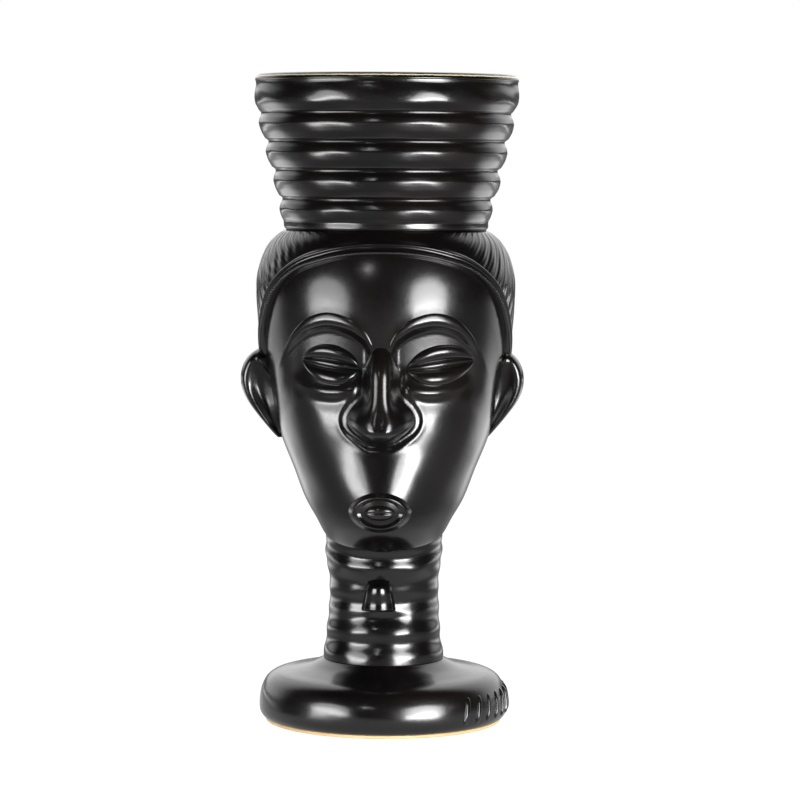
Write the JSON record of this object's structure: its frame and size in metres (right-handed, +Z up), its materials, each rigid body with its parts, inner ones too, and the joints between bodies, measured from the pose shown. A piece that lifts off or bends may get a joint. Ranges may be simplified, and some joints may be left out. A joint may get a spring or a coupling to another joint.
{
  "type": "figural drinking mug",
  "caption": "Tall black glazed mug: a flared cup with rolled ribs stands as a crown on a carved stylised head, ringed neck and round foot.",
  "frame": {"origin": "centre of the underside of the foot, on the table", "axes": "+Z up through the neck to the mouth of the cup; the face looks along -Y; +X is the mug's own left as it looks out, the viewer's right"},
  "size_m": [0.0704, 0.065, 0.16],
  "materials": {
    "black_glaze": "satin gloss black glaze with a fine speckle",
    "inner_glaze": "gloss black glaze poured inside",
    "bare_clay": "unglazed fired clay"
  },
  "bodies": {
    "root": {"lip_bead": "black_glaze", "crown_wall": "black_glaze", "head_shell": "black_glaze", "hair_cap": "black_glaze", "brow_band": "black_glaze", "left_ear": "black_glaze", "right_ear": "black_glaze", "brow_ridges": "black_glaze", "nose": "black_glaze", "left_eye": "black_glaze", "right_eye": "black_glaze", "mouth": "black_glaze", "neck_column": "black_glaze", "throat_boss": "black_glaze", "foot_plinth": "black_glaze", "bare_foot": "bare_clay", "foot_bars": "black_glaze", "glaze_liner": "inner_glaze"}
  },
  "joints": []
}
